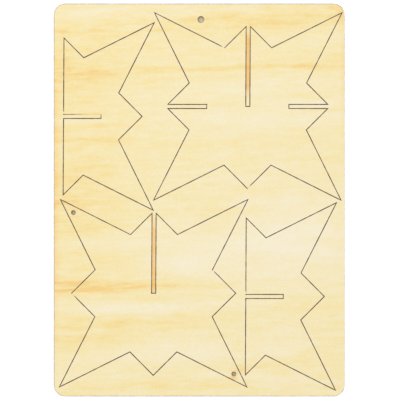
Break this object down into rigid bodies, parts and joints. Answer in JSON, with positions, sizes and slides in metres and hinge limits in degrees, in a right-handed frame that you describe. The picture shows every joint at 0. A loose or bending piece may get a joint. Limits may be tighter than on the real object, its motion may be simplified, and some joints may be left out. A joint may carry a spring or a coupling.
{
  "type": "press-out plywood puzzle sheet",
  "caption": "Flat three-ply wooden sheet holding press-out star and half-star puzzle pieces that slot together into a three-plane star.",
  "frame": {"origin": "centre of the sheet's outline, on the back of the sheet", "axes": "+X across the sheet to the right as seen from the face, +Y up the sheet towards the hanging hole, +Z out of the face"},
  "size_m": [0.1982, 0.2676, 0.003],
  "materials": {
    "face_veneer": "sanded bare pale wood, matt, soft streaks of grain across the sheet, laser-browned cut edges",
    "core": "pale wood with its grain turned across the face's, laser-browned where it shows at the cut edges",
    "back_veneer": "sanded bare pale wood, matt, plainer figure than the face, with faint smoke marks along the cuts"
  },
  "bodies": {
    "carrier_sheet": {"carrier_back_veneer": "back_veneer", "carrier_core": "core", "carrier_face_veneer": "face_veneer"},
    "star_a": {"star_a_back_veneer": "back_veneer", "star_a_core": "core", "star_a_face_veneer": "face_veneer"},
    "star_b": {"star_b_back_veneer": "back_veneer", "star_b_core": "core", "star_b_face_veneer": "face_veneer"},
    "half_star_top": {"half_star_top_back_veneer": "back_veneer", "half_star_top_core": "core", "half_star_top_face_veneer": "face_veneer"},
    "half_star_bottom": {"half_star_bottom_back_veneer": "back_veneer", "half_star_bottom_core": "core", "half_star_bottom_face_veneer": "face_veneer"}
  },
  "joints": [
    {"name": "star_a_press_out", "type": "slide", "parent": "carrier_sheet", "child": "star_a", "axis": [0, 0, 1], "range_m": [0, 0.03]},
    {"name": "star_b_press_out", "type": "slide", "parent": "carrier_sheet", "child": "star_b", "axis": [0, 0, 1], "range_m": [0, 0.03]},
    {"name": "half_star_top_press_out", "type": "slide", "parent": "carrier_sheet", "child": "half_star_top", "axis": [0, 0, 1], "range_m": [0, 0.03]},
    {"name": "half_star_bottom_press_out", "type": "slide", "parent": "carrier_sheet", "child": "half_star_bottom", "axis": [0, 0, 1], "range_m": [0, 0.03]}
  ]
}
